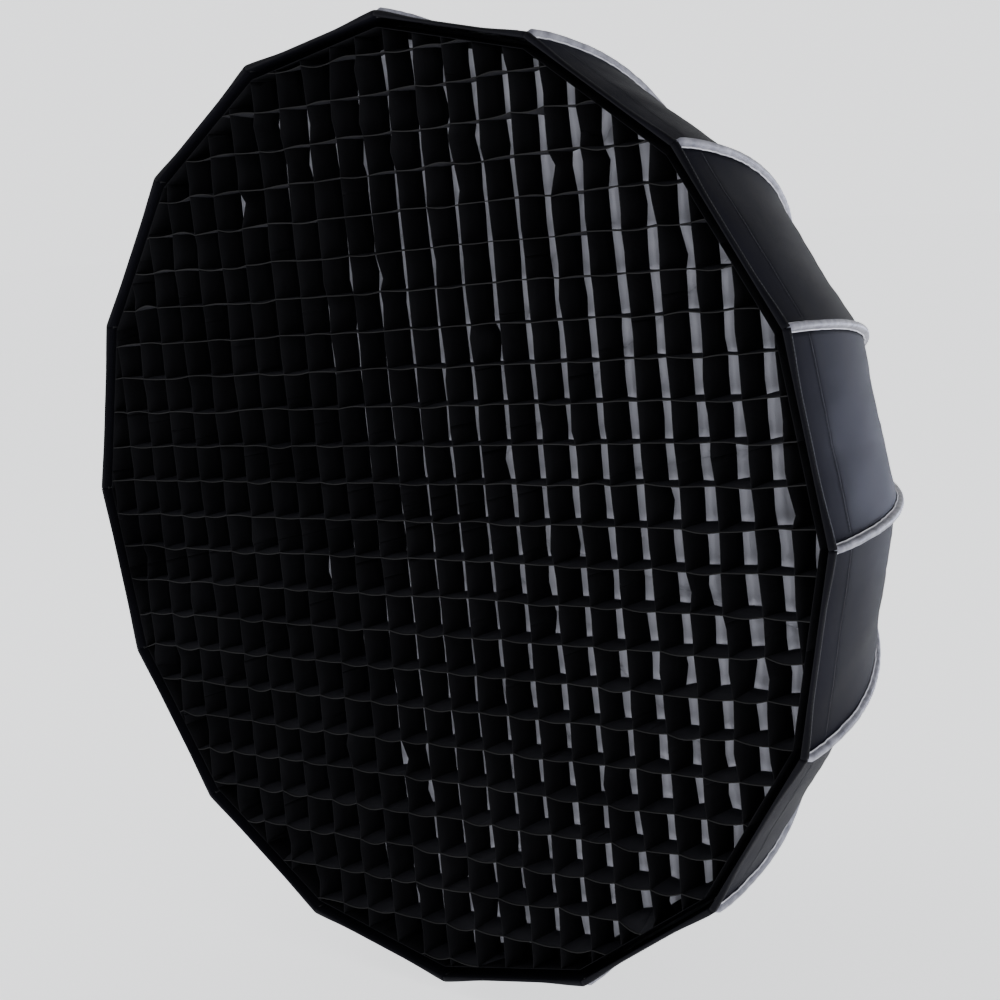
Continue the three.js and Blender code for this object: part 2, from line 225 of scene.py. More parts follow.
def thicken(piece, thickness, offset=0.0, inside=0):
    """Gives a sheet its thickness. `inside` counts on from a face's material to its back's."""
    modifier = piece.modifiers.new("thickness", "SOLIDIFY")
    modifier.thickness = thickness
    modifier.offset = offset
    modifier.material_offset = inside


def face_outwards(piece):
    work = bmesh.new()
    work.from_mesh(piece.data)
    bmesh.ops.recalc_face_normals(work, faces=work.faces)
    work.to_mesh(piece.data)
    work.free()


def lathe_piece(name, profile, materials, segments):
    """A closed profile of (radius, y) points turned about the Y axis."""
    points, faces, size = [], [], len(profile)
    for k in range(segments):
        turn = 2 * math.pi * k / segments
        points += [polar(radius, turn, y) for radius, y in profile]
    for k in range(segments):
        for c in range(size):
            a, b = k * size + c, k * size + (c + 1) % size
            ahead = (k + 1) % segments - k
            faces.append((a, b, b + ahead * size, a + ahead * size))
    piece = make_piece(name, points, faces, materials)
    face_outwards(piece)
    return piece


def round_edges(piece, angle, width, segments=2):
    """Small rounded edges where faces meet more sharply than the angle, in degrees."""
    bevel = piece.modifiers.new("edges", "BEVEL")
    bevel.width = width
    bevel.segments = segments
    bevel.limit_method = "ANGLE"
    bevel.angle_limit = math.radians(angle)
    bevel.harden_normals = False


# ---- materials --------
WAVE_PERIOD = 0.314     # of a wave texture at scale 1


class Nodes:
    """A material's node tree, with short calls for the nodes that every finish uses."""

    def __init__(self, name):
        self.material = bpy.data.materials.new(name)
        self.material.use_nodes = True
        self.tree = self.material.node_tree
        self.shader = self.tree.nodes["Principled BSDF"]

    def add(self, kind, **values):
        node = self.tree.nodes.new(kind)
        for key, value in values.items():
            if hasattr(node, key):
                setattr(node, key, value)
            else:
                node.inputs[key.replace("_", " ")].default_value = value
        return node

    def link(self, source, target):
        self.tree.links.new(source, target)

    def set(self, **values):
        for key, value in values.items():
            self.shader.inputs[key.replace("_", " ")].default_value = value

    def coordinates(self, cloth=False):
        if cloth:
            return self.add("ShaderNodeUVMap", uv_map="cloth").outputs["UV"]
        return self.add("ShaderNodeTexCoord").outputs["Object"]

    def noise(self, vector, scale, detail=3.0):
        node = self.add("ShaderNodeTexNoise", Scale=scale, Detail=detail)
        self.link(vector, node.inputs["Vector"])
        return node.outputs["Fac"]

    def ramp(self, value, low, high, start=0.0, end=1.0):
        node = self.add("ShaderNodeValToRGB")
        first, last = node.color_ramp.elements
        first.position, first.color = start, (*low, 1)
        last.position, last.color = end, (*high, 1)
        self.link(value, node.inputs["Fac"])
        return node.outputs["Color"]

    def span(self, value, low, high):
        node = self.add("ShaderNodeMapRange", To_Min=low, To_Max=high)
        self.link(value, node.inputs["Value"])
        return node.outputs["Result"]

    def weave(self, vector, pitch):
        """A plain weave's height: threads over and under each other."""
        heights = []
        for direction in ("X", "Y"):
            wave = self.add("ShaderNodeTexWave", bands_direction=direction, Scale=WAVE_PERIOD / pitch)
            self.link(vector, wave.inputs["Vector"])
            heights.append(wave.outputs["Fac"])
        node = self.add("ShaderNodeMath", operation="MAXIMUM")
        self.link(heights[0], node.inputs[0])
        self.link(heights[1], node.inputs[1])
        return node.outputs["Value"]

    def bump(self, value, distance, strength=1.0, after=None):
        node = self.add("ShaderNodeBump", Distance=distance, Strength=strength)
        self.link(value, node.inputs["Height"])
        if after is not None:
            self.link(after, node.inputs["Normal"])
        return node.outputs["Normal"]

    def finish(self, color=None, roughness=None, normal=None):
        for value, socket in ((color, "Base Color"), (roughness, "Roughness"), (normal, "Normal")):
            if value is not None:
                self.link(value, self.shader.inputs[socket])
        return self.material


def woven(name, dark, light, pitch, roughness, ior=1.2, crease=0.0004, cloth=False, metallic=0.0,
          patch=9.0):
    """Woven cloth: thread relief, soft creases, and a colour that varies a little. On the sleeve cloth the
    colour varies much more, in small patches that are painted shade and highlight of its crinkles. The
    weave lies along the piece's cloth coordinates where it has them."""
    n = Nodes(name)
    place = n.coordinates(cloth)
    patches = n.noise(n.coordinates(), patch, 4.0)
    threads = n.weave(place, pitch)
    relief = n.bump(threads, pitch * 0.25, 0.6)
    creases = n.bump(n.noise(n.coordinates(), 38.0, 5.0), crease, 0.5, relief)
    n.set(Metallic=metallic, IOR=ior)
    return n.finish(n.ramp(patches, dark, light, 0.3, 0.7),
                    n.span(patches, roughness - 0.06, roughness + 0.06), creases)


def moulded(name, dark, light, roughness, grain=900.0, metallic=0.0, coat=0.0):
    """Moulded plastic or finished metal with a fine grain and faint handling marks."""
    n = Nodes(name)
    place = n.coordinates()
    marks = n.noise(place, 24.0, 6.0)
    relief = n.bump(n.noise(place, grain, 2.0), 0.00012, 0.4)
    n.set(Metallic=metallic, Coat_Weight=coat)
    return n.finish(n.ramp(marks, dark, light, 0.35, 0.75),
                    n.span(marks, roughness - 0.08, roughness + 0.1), relief)


def turned_metal(name, dark, light, roughness):
    """Bare metal with the fine rings that a lathe leaves."""
    n = Nodes(name)
    place = n.coordinates()
    rings = n.add("ShaderNodeTexWave", wave_type="RINGS", rings_direction="Y", Scale=420.0, Distortion=0.6)
    n.link(place, rings.inputs["Vector"])
    marks = n.noise(place, 30.0, 5.0)
    n.set(Metallic=1.0, Anisotropic=0.4)
    return n.finish(n.ramp(marks, dark, light, 0.3, 0.7),
                    n.span(marks, roughness - 0.05, roughness + 0.12),
                    n.bump(rings.outputs["Fac"], 0.00005, 0.35))


NYLON = woven("shell_nylon", (0.0035, 0.0036, 0.007), (0.006, 0.0062, 0.012), 0.0005, 0.47, ior=1.07,
              cloth=True)
LINING = woven("silver_lining", (0.4, 0.41, 0.44), (0.5, 0.51, 0.54), 0.0005, 0.35, cloth=True,
               metallic=0.6)
BINDING = woven("binding_tape", (0.003, 0.003, 0.0045), (0.006, 0.006, 0.009), 0.0008, 0.5, ior=1.12)
# The sleeve cloth's colour is partly its own silver grey and partly painted shade and highlight of its
# crinkles, in small dark and light patches.
SILVER_PAINTED_CRINKLES = woven("sleeve_cloth_painted_crinkles", (0.12, 0.12, 0.15), (0.36, 0.36, 0.42), 0.0004, 0.42, ior=1.3,
               crease=0.0022, patch=70.0)
PIPING = woven("sleeve_piping", (0.6, 0.6, 0.66), (0.92, 0.91, 0.98), 0.0004, 0.5, ior=1.4, patch=60.0)
DIFFUSION = woven("diffusion_cloth", (0.42, 0.425, 0.485), (0.5, 0.505, 0.57), 0.0004, 0.8, crease=0.0008)
GRID_CLOTH = woven("grid_cloth", (0.0065, 0.0065, 0.0076), (0.0105, 0.0105, 0.0122), 0.0006, 0.85, ior=1.08)
# The level strips' cloth is a lighter copy of the grid cloth: painted light from above on their top faces.
GRID_LEVEL_PAINTED_LIGHT = woven("grid_cloth_level_painted_light", (0.032, 0.032, 0.038), (0.05, 0.05, 0.058), 0.0006, 0.85, ior=1.08)
# The level strips' front hem is lighter than the grid cloth: a painted highlight where light from above
# catches their top edges.
GRID_HEM_PAINTED_HIGHLIGHT = woven("grid_hem_painted_highlight", (0.014, 0.014, 0.0145), (0.024, 0.024, 0.025), 0.0006, 0.7, ior=1.1)
LOOP_TAPE = woven("loop_tape", (0.004, 0.004, 0.005), (0.008, 0.008, 0.009), 0.0012, 0.9, ior=1.1)
WEBBING = woven("tab_webbing", (0.005, 0.005, 0.006), (0.009, 0.009, 0.011), 0.0014, 0.8, ior=1.15)
THREAD = moulded("sewing_thread", (0.02, 0.02, 0.026), (0.05, 0.05, 0.06), 0.5, grain=2500.0)
PALE_THREAD = moulded("pale_thread", (0.5, 0.5, 0.53), (0.7, 0.7, 0.74), 0.55, grain=2500.0)
ROD = moulded("fibre_rod", (0.02, 0.02, 0.022), (0.045, 0.045, 0.048), 0.4)
HUB_PLASTIC = moulded("hub_plastic", (0.012, 0.012, 0.014), (0.022, 0.022, 0.025), 0.48)
HUB_METAL = moulded("black_anodised", (0.015, 0.015, 0.017), (0.03, 0.03, 0.034), 0.38, 400.0, metallic=0.7)
RED = moulded("button_plastic", (0.42, 0.02, 0.015), (0.55, 0.035, 0.025), 0.35, coat=0.3)
BARE_METAL = turned_metal("turned_aluminium", (0.5, 0.5, 0.52), (0.7, 0.7, 0.72), 0.3)
STEEL = turned_metal("drawn_steel", (0.42, 0.42, 0.44), (0.6, 0.6, 0.62), 0.28)


# ---- camera, light and floor --------
# The camera's place is measured from the centre of the rim, in rim radii, and its lens from the
# way the rim's far and near sides differ in size.
CAMERA_PLACE = Vector((2.855, -2.938, 0.686))
CAMERA_FORWARD = Vector((-0.655, 0.738, -0.161))
CAMERA_UP = Vector((-0.058, 0.164, 0.985))
LENS_MM = 73.4

FLOOR_SIZE = 40
FLOOR_GAP = 0.012       # the object hangs this far above the floor
FLOOR_GLOW = 1.4        # makes the floor as bright as the horizon behind it
DAYLIGHT = (0.97, 0.98, 1, 1)
# The world's strength against the height of a direction: bright at the sides, dim overhead.
WORLD_FALL = (("From Min", 0.1), ("From Max", 0.4), ("To Min", 1.9), ("To Max", 0.4))
# Each lamp's place, what it points at, its size, watts and colour.
SIDE_LAMP = ((0.35, 2.2, -0.4), (0, RIM_Y / 2, 0), 0.9, 29, (0.67, 0.72, 1))
TOP_LAMP = ((-2.4, -0.8, 2.6), (0, RIM_Y / 2, -0.5), 3.0, 25, (1, 1, 1))


def make_camera():
    data = bpy.data.cameras.new("camera")
    data.lens = LENS_MM
    camera = bpy.data.objects.new("camera", data)
    forward = CAMERA_FORWARD.normalized()
    right = forward.cross(CAMERA_UP).normalized()
    up = right.cross(forward)
    turn = Matrix((right, up, -forward)).transposed()
    place = Vector((0, RIM_Y, 0)) + CAMERA_PLACE * RIM_RADIUS
    camera.matrix_world = Matrix.Translation(place) @ turn.to_4x4()
    bpy.context.scene.collection.objects.link(camera)
    bpy.context.scene.camera = camera


def area_light(name, place, target, size, power, color):
    data = bpy.data.lights.new(name, "AREA")
    data.energy, data.size, data.color = power, size, color
    light = bpy.data.objects.new(name, data)
    light.location = place
    light.visible_camera = False
    light.rotation_euler = (Vector(target) - Vector(place)).to_track_quat("-Z", "Y").to_euler()
    bpy.context.scene.collection.objects.link(light)
    return light


def keep_off(light, thing):
    """The light doesn't fall on this thing."""
    receivers = bpy.data.collections.new(light.name + "_receivers")
    receivers.objects.link(thing)
    receivers.collection_objects[0].light_linking.link_state = "EXCLUDE"
    light.light_linking.receiver_collection = receivers


def make_world():
    """Even light from round about, falling off overhead."""
    world = bpy.data.worlds.new("studio")
    world.use_nodes = True
    tree = world.node_tree
    background = tree.nodes["Background"]
    background.inputs["Color"].default_value = DAYLIGHT
    direction = tree.nodes.new("ShaderNodeTexCoord")
    parts = tree.nodes.new("ShaderNodeSeparateXYZ")
    fall = tree.nodes.new("ShaderNodeMapRange")
    fall.interpolation_type = "SMOOTHSTEP"
    for name, value in WORLD_FALL:
        fall.inputs[name].default_value = value
    tree.links.new(direction.outputs["Generated"], parts.inputs["Vector"])
    tree.links.new(parts.outputs["Z"], fall.inputs["Value"])
    tree.links.new(fall.outputs["Result"], background.inputs["Strength"])
    bpy.context.scene.world = world


def make_stage():
    bpy.ops.mesh.primitive_plane_add(size=FLOOR_SIZE, location=(0, 0, CAD_BOX[0].z - FLOOR_GAP))
    floor = bpy.context.object
    floor.name = "floor"
    n = Nodes("pale_floor")
    tint = n.ramp(n.noise(n.coordinates(), 1.5), (0.86, 0.86, 0.87), (0.9, 0.9, 0.9))
    n.set(Roughness=0.8, Emission_Color=DAYLIGHT, Emission_Strength=FLOOR_GLOW)
    floor.data.materials.append(n.finish(tint))
    make_world()
    keep_off(area_light("side", *SIDE_LAMP), floor)
    area_light("top", *TOP_LAMP)


# ---- shell --------
GORE_COLUMNS = 21
SEAM_ROWS = (0.0, 0.004, 0.011, 0.02, 0.032, 0.043, 0.0455, 0.047, 0.0485, 0.051, 0.058)
BODY_START_DEPTH = 0.068
BODY_ROWS = 44
SAG_REACH = 0.22        # the sag grows from nothing at the rim to full at this depth
CREASE_HEIGHTS = (0.0022, 0.0009, 0.0005)   # of long waves, short folds and slanting streaks
CREASE_REACH = 0.08
SEAM_GROOVE = 0.0003
SEAM_GROOVE_WIDTH = 0.0014


def gore_rows():
    near = [param_at_depth(depth) for depth in SEAM_ROWS]
    far = np.linspace(param_at_depth(BODY_START_DEPTH), param_at_radius(GORE_END_RADIUS), BODY_ROWS)
    return near + list(far)


def cloth_drop(depth):
    """The cloth is nearer to the curve at the rim, where it goes over the rod's end."""
    return CLOTH_DROP - RIM_RISE * (1 - smooth(0.0, RIM_RISE_REACH, depth))


def cloth_ruffle(index, depth, u):
    """The creases of a gore's cloth, which fade out towards its edges."""
    waves = (noise.noise(Vector((u * 2.2 + 7 * index, depth * 6, index * 3.1))),
             noise.noise(Vector((u * 7 + 5 * index, depth * 11 + u * 3, 40 + index))),
             noise.noise(Vector((u * 5 + depth * 26 + index, (u - depth * 5) * 0.9, 80 + index))))
    height = sum(share * wave for share, wave in zip(CREASE_HEIGHTS, waves))
    return height * (1 - u ** 4) * smooth(0.0, CREASE_REACH, depth)


def cloth_point(index, s, u, lift=0.0):
    """A point of a gore's cloth. u runs from -1 at its first rib to 1 at its second."""
    depth = rib_depth(s)
    drop = cloth_drop(depth)
    normal = rib_normal(s)
    radius = rib_radius(s) - drop * normal.x
    y = RIM_Y + depth - drop * normal.y
    width = 2 * radius * math.sin(HALF_STEP)
    hollow = GORE_SAG * width * (1 - u * u) * smooth(0.0, SAG_REACH, depth)
    middle = rib_angle(index) + HALF_STEP
    groove = SEAM_GROOVE * math.exp(-((depth - SEAM_DEPTH) / SEAM_GROOVE_WIDTH) ** 2)
    out = lift - hollow + cloth_ruffle(index, depth, u) - groove
    reach = radius * math.cos(HALF_STEP) + out * normal.x
    return beside(middle, reach, u * radius * math.sin(HALF_STEP), y + out * normal.y)


def bend_with_ribs(piece, index):
    """Bakes the piece's placement into its mesh. It works out each point's angle round the axis from the
    middle of the gore between rib `index` and the next, but sets nothing from it."""
    first, second = rib_angle(index), rib_angle(index + 1)
    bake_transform(piece)
    middle = first + HALF_STEP
    for vertex in piece.data.vertices:
        turn = math.atan2(vertex.co.x, vertex.co.z) - middle
        turn = (turn + math.pi) % (2 * math.pi) - math.pi


def arc_lengths(points):
    steps = [0.0] + [(b - a).length for a, b in zip(points, points[1:])]
    return np.cumsum(steps)


def make_gore(index):
    rows, columns = gore_rows(), np.linspace(-1, 1, GORE_COLUMNS)
    points = [cloth_point(index, s, u) for s in rows for u in columns]
    name = "shell_gore_" + label(index)
    piece = make_piece(name, points, sheet_faces(len(rows), GORE_COLUMNS), [NYLON, LINING])
    along = arc_lengths([cloth_point(index, s, 0) for s in rows])
    halves = [rib_radius(s) * math.sin(HALF_STEP) for s in rows]
    add_uv(piece, [(u * half, run) for half, run in zip(halves, along) for u in columns])
    thicken(piece, CLOTH, offset=-1, inside=1)
    bend_with_ribs(piece, index)
    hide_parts("gore_" + label(index))


BAND_OUTER = 0.0055     # how far back the rim's binding reaches outside
BAND_INNER = 0.046      # and the loop tape inside
BAND_HIGH = 0.0014      # the binding's face, outside the cloth's line
BAND_OVER_ROD = 0.0027  # and its rise over a rod's end
BAND_LOW = -0.0026      # the loop tape's face, inside the cloth's line
BAND_STATIONS = 33


def rim_section(index, u):
    """The rim's bound edge, cut across: folded over the front, with loop tape inside the cloth.
    Towards a rib it rises over the end of the rod."""
    high = BAND_HIGH + BAND_OVER_ROD * smooth(0.35, 1.0, abs(u))
    low = BAND_LOW
    outline = [(high - 0.0016, BAND_OUTER + 0.0002), (high - 0.0002, BAND_OUTER),
               (high, BAND_OUTER - 0.0008), (high, 0.0006), (high * 0.6, -0.0009), (0.0, -0.0014),
               (low * 0.7, -0.0009), (low, 0.001), (low, 0.02), (low, BAND_INNER - 0.001),
               (low * 0.6, BAND_INNER)]
    outline += [(-0.0012, depth) for depth in (BAND_INNER - 0.001, 0.033, 0.022, 0.012, 0.007)]
    outward = polar(1, rib_angle(index) + HALF_STEP, 0)
    ring = []
    for lift, depth in outline:
        under_rod = 0.004 * smooth(0.01, BAND_INNER, depth) * abs(u) ** 8
        point = cloth_point(index, param_at_depth(max(depth, 0.0)), u) + outward * (lift - under_rod)
        point.y = RIM_Y + depth
        ring.append(point)
    return ring


def make_rim_band(index):
    """Its stations lie closer together near the ribs."""
    turn = np.linspace(-math.pi / 2, math.pi / 2, BAND_STATIONS)
    stations = [0.5 * (math.sin(t) + 2 * t / math.pi) for t in turn]
    piece = solid_piece("rim_band_" + label(index), [[rim_section(index, u) for u in stations]], [BINDING])
    bend_with_ribs(piece, index)


STITCH_LENGTH = 0.0027
STITCH_PITCH = 0.0038
THREAD_RADIUS = 0.00035
STITCH_TURNS = [2 * math.pi * k / 5 for k in range(5)]    # of a thread's five sides
SEAM_STITCH_DEPTH = SEAM_DEPTH - 0.0025


def stitches(path, normal):
    """Short threads along a path, each a small closed five-sided capsule."""
    spots = arc_lengths(path)
    tubes = []
    count = int(spots[-1] / STITCH_PITCH)
    xs = [[p[axis] for p in path] for axis in range(3)]
    for k in range(count):
        middle = (k + 0.5) * STITCH_PITCH
        ends = []
        for at in (middle - STITCH_LENGTH / 2, middle + STITCH_LENGTH / 2):
            ends.append(Vector([np.interp(at, spots, x) for x in xs]))
        run = (ends[1] - ends[0]).normalized()
        side = run.cross(normal).normalized()
        rings = []
        for share, size in ((0.0, 0.35), (0.25, 1.0), (0.75, 1.0), (1.0, 0.35)):
            centre = ends[0].lerp(ends[1], share)
            rings.append([centre + (side * math.cos(turn) + normal * math.sin(turn)) * THREAD_RADIUS * size
                          for turn in STITCH_TURNS])
        tubes.append(rings)
    return tubes


def make_gore_stitching(index):
    """A row of stitches beside the seam and one on the rim's binding."""
    normal = polar(1, rib_angle(index) + HALF_STEP, 0)
    us = np.linspace(-0.93, 0.93, 41)
    seam = param_at_depth(SEAM_STITCH_DEPTH)
    tubes = stitches([cloth_point(index, seam, u, 0.0002) for u in us], normal)
    edge = [rim_section(index, u)[2] + normal * 0.0001 for u in us]
    tubes += stitches([Vector((p.x, p.y - 0.0008, p.z)) for p in edge], normal)
    piece = solid_piece("gore_stitching_" + label(index), tubes, [THREAD])
    bend_with_ribs(piece, index)


# ---- rib sleeves --------
SLEEVE_FRONT = 0.0035
SLEEVE_END_RADIUS = 0.113
SLEEVE_STATIONS = 150
SLEEVE_PINCH = 0.6      # how much of its height it loses at the front
SLEEVE_PINCH_LENGTH = 0.007
PIPING_SIDE = 0.0043
PIPING_RADIUS = 0.00062
PIPING_SIDES = 8
# Across the sleeve: sideways, and above the cloth's line under the rib.
SLEEVE_OUTLINE = (
    (-0.0038, -0.0012), (-0.0038, 0.0008), (-0.0037, 0.0036), (-0.0029, 0.0058), (-0.0011, 0.0067),
    (0.0011, 0.0067), (0.0029, 0.0058), (0.0037, 0.0036), (0.0038, 0.0008), (0.0038, -0.0012),
    (0.0, -0.0004),
)


def piping_outline(side):
    turns = [2 * math.pi * k / PIPING_SIDES for k in range(PIPING_SIDES)]
    return [(side * PIPING_SIDE + PIPING_RADIUS * math.cos(t), 0.0002 + PIPING_RADIUS * math.sin(t))
            for t in turns]


def sleeve_section(index, s, outline):
    """The sleeve, or its piping, cut across. It narrows at the front, where the rod ends."""
    normal = rib_normal(s)
    depth = rib_depth(s)
    drop = cloth_drop(depth)
    pinch = 1 - SLEEVE_PINCH * (1 - smooth(SLEEVE_FRONT, SLEEVE_FRONT + SLEEVE_PINCH_LENGTH, depth))
    shake = noise.noise(Vector((depth * 60, index * 5.3, 1.7)))
    ring = []
    for side, high in outline:
        pucker = noise.noise(Vector((side * 260, depth * 130, index * 9.1)))
        crest = smooth(0.0034, 0.0067, high)
        rise = high * (1 + 0.03 * shake * (high > 0)) + (0.0009 - 0.0005 * crest) * pucker
        place = side * (0.8 + 0.2 * pinch) + 0.0003 * shake
        lift = rise * (pinch if high > 0 else 1) - drop
        ring.append(beside(rib_angle(index), rib_radius(s) + lift * normal.x, place,
                           RIM_Y + depth + lift * normal.y))
    return ring


def make_sleeve(index):
    path = np.linspace(param_at_depth(SLEEVE_FRONT), param_at_radius(SLEEVE_END_RADIUS), SLEEVE_STATIONS)
    tubes = [[sleeve_section(index, s, SLEEVE_OUTLINE) for s in path]]
    slots = [0]
    outward = polar(1, rib_angle(index), 0)
    for side in (-1, 1):
        tubes.append([sleeve_section(index, s, piping_outline(side)) for s in path])
        seam = [sleeve_section(index, s, ((side * PIPING_SIDE * 0.95, 0.0008),))[0] for s in path[2:-2]]
        rows = stitches(seam, outward)
        tubes += rows
        slots += [1] + [2] * len(rows)
    piece = solid_piece("rib_sleeve_" + label(index), tubes, [SILVER_PAINTED_CRINKLES, PIPING, PALE_THREAD], slots)
    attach(piece, "rib_" + label(index))


# ---- diffusers --------
def sector_plane(index, side):
    """Normal of the plane that parts this rib's sector from the next one on that side."""
    return tangent(rib_angle(index) + side * HALF_STEP) * side


def fold_away(piece, body):
    """Attaches a panel's sector to its body and gives it a mesh of its own."""
    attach(piece, body)
    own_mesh(piece)


PANEL_RINGS = 34
PANEL_COLUMNS = 15
PANEL_RIPPLE = 0.0034
PANEL_TIP = 0.0006      # a sector starts this share of its length from the axis
PANEL_CLOTH = 0.0004
HEM_RINGS = 1           # the outermost ring of a panel is its black loop tape
FRONT_BILLOW = 0.004
INNER_BILLOW = 0.003


def panel_points(index, corner_radius, y, billow):
    """A sector of a sixteen-sided panel, centred on a rib, from the panel's middle to its edge."""
    edge = corner_radius * math.cos(HALF_STEP)
    points = []
    for r in np.linspace(0.0, 1.0, PANEL_RINGS):
        for a in np.linspace(-HALF_STEP, HALF_STEP, PANEL_COLUMNS):
            reach = edge / math.cos(HALF_STEP - abs(a))
            point = polar(max(r, PANEL_TIP) * reach, rib_angle(index) + a, 0)
            ripple = noise.noise(Vector((point.x * 13, point.z * 9, 3.0)))
            point.y = y + billow * (1 - r * r) + PANEL_RIPPLE * ripple * smooth(0.0, 0.5, r)
            points.append(point)
    return points


def make_panel(node, index, corner_radius, y, billow, body):
    points = panel_points(index, corner_radius, y, billow)
    first_hem = PANEL_RINGS - 1 - HEM_RINGS
    slots = [int(r >= first_hem) for r in range(PANEL_RINGS - 1) for _ in range(PANEL_COLUMNS - 1)]
    faces = sheet_faces(PANEL_RINGS, PANEL_COLUMNS)
    piece = make_piece(node + "_" + label(index), points, faces, [DIFFUSION, LOOP_TAPE], slots)
    thicken(piece, PANEL_CLOTH)
    fold_away(piece, body)
    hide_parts(node)


def make_diffusers():
    front_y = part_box("front_diffuser")[0].y
    inner_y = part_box("inner_diffuser")[0].y
    for index in range(RIB_COUNT):
        make_panel("front_diffuser", index, FRONT_PANEL_RADIUS, front_y, FRONT_BILLOW,
                   "corner_tab_" + label(index))
        make_panel("inner_diffuser", index, INNER_PANEL_RADIUS, inner_y, INNER_BILLOW,
                   "rib_" + label(index))


# ---- grid --------
STRIP_HALF = 0.00035
HEM_HALF = 0.0006
HEM_LENGTH = 0.0018
SEGMENTS = 6            # between two crossings
KINK_PLACES = (2, 3, 4)          # of a kink, in segments from the crossing before it
CROSSING_SLACK = 0.0006          # spread of the crossings about their true places
UPRIGHT_BOW = 0.0006             # spread of the uprights' bows between crossings
UPRIGHT_KINK = 0.0030            # and of the kinks that a share of them has
LEVEL_BOW = 0.0008               # spread of the levels' sag between crossings
LEVEL_SAG = (0.0026, -0.0016)    # of the lowest levels, at the front edge and at the back
EDGE_INSET = 0.0010              # of the tape along the outline
CUT_INSET = 0.0012               # the strips end here, inside the tape
# One strip cut across: half its thickness, and how far it is from the front edge.
LEVEL_SIDE = ((HEM_HALF * 0.5, 0.0), (HEM_HALF, 0.0004), (HEM_HALF, HEM_LENGTH - 0.0003),
              (STRIP_HALF, HEM_LENGTH), (STRIP_HALF, 0.014), (STRIP_HALF, 0.027), (STRIP_HALF, GRID_DEPTH))
UPRIGHT_SIDE = ((STRIP_HALF * 0.6, 0.0), (STRIP_HALF, 0.0004), (STRIP_HALF, 0.014), (STRIP_HALF, 0.027),
                (STRIP_HALF, GRID_DEPTH))


def both_sides(side):
    return [(-half, depth) for half, depth in side] + [(half, depth) for half, depth in reversed(side)]


class EggCrate:
    """The grid's slack: where strips cross, and how far they bow between crossings."""

    def __init__(self):
        draw = np.random.default_rng(SEED)
        self.count = 2 * GRID_STRIPS + 1          # strips each way
        size = (2, self.count, self.count)
        strips = np.arange(-GRID_STRIPS, GRID_STRIPS + 1) / GRID_STRIPS
        reach = np.hypot(*np.meshgrid(strips, strips))
        loose = 1 + 1.4 * np.minimum(reach, 1.05) ** 4
        self.shift = draw.normal(0, CROSSING_SLACK, (2, *size)) * loose
        kinked = draw.random(size[1:]) < 0.1 + 0.25 * np.minimum(reach, 1) ** 2
        self.sideways = draw.normal(0, UPRIGHT_BOW, size) + draw.normal(0, UPRIGHT_KINK, size) * kinked
        self.kink = draw.choice(KINK_PLACES, size[1:]) / SEGMENTS
        lower = np.clip(0.2 - strips, 0, 1)
        self.sag = draw.normal(0.0002, LEVEL_BOW, size) * loose
        for edge, fall in enumerate(LEVEL_SAG):
            self.sag[edge] += fall * lower[None, :]

    def crossing(self, i, j, share):
        """Where upright strip i meets level strip j, on the front view, at a share of the depth."""
        i, j = (min(max(k, 0), self.count - 1) for k in (i, j))
        front, back = self.shift[0, :, i, j], self.shift[1, :, i, j]
        slack = front * (1 - share) + back * share
        cell = np.array([i - GRID_STRIPS, j - GRID_STRIPS]) * GRID_PITCH
        return cell + GRID_SHIFT + slack

    def place(self, upright, number, along, share):
        """A point on a strip, `along` cells from its start."""
        cell = min(max(int(math.floor(along)), 0), self.count - 2)
        part = along - cell
        if upright:
            a, b = self.crossing(number, cell, share), self.crossing(number, cell + 1, share)
            bow = self.sideways[:, number, cell]
            peak = self.kink[number, cell]
            shape = part / peak if part < peak else (1 - part) / (1 - peak)
            push = np.array([1.0, 0.0])
        else:
            a, b = self.crossing(cell, number, share), self.crossing(cell + 1, number, share)
            bow = -self.sag[:, cell, number]
            shape = math.sin(math.pi * part)
            push = np.array([0.0, 1.0])
        height = bow[0] * (1 - share) + bow[1] * share
        if 0 <= part <= 1:
            return a * (1 - part) + b * part + push * height * shape
        return a * (1 - part) + b * part


def strip_sections(crate, upright, number):
    """A whole strip, running past the grid's outline at both ends."""
    front = RIM_Y + GRID_SETBACK
    turn = Matrix.Rotation(-GRID_TWIST, 3, "Y")
    push = Vector((1, 0, 0)) if upright else Vector((0, 0, 1))
    outline = both_sides(UPRIGHT_SIDE if upright else LEVEL_SIDE)
    sections = []
    cells = 2 * GRID_STRIPS
    for k in range(-SEGMENTS, (cells + 1) * SEGMENTS + 1):
        ring = []
        for half, depth in outline:
            x, z = crate.place(upright, number, k / SEGMENTS, depth / GRID_DEPTH)
            point = turn @ (Vector((x, 0, z)) + push * half)
            point.y = front + depth
            ring.append(point)
        sections.append(ring)
    return sections


def edge_band(index):
    """The tape along the grid's outline, in one sector: two straight halves."""
    front = RIM_Y + GRID_SETBACK
    tubes = []
    reach = GRID_RADIUS * math.cos(HALF_STEP) - EDGE_INSET
    for side in (-1, 1):
        turn = rib_angle(index) + side * HALF_STEP
        sections = []
        for across in np.linspace(-side * GRID_RADIUS * math.sin(HALF_STEP), 0, 5):
            sections.append([beside(turn, reach + half, across, front + depth)
                             for half, depth in both_sides(UPRIGHT_SIDE)])
        tubes.append(sections)
    return tubes


def cut(work, place, normal):
    """Keeps what is behind the plane and closes the cut."""
    geometry = work.verts[:] + work.edges[:] + work.faces[:]
    made = bmesh.ops.bisect_plane(work, geom=geometry, plane_co=place, plane_no=normal, clear_outer=True,
                                  dist=1e-6)
    edges = [e for e in made["geom_cut"] if isinstance(e, bmesh.types.BMEdge)]
    bmesh.ops.holes_fill(work, edges=edges, sides=0)


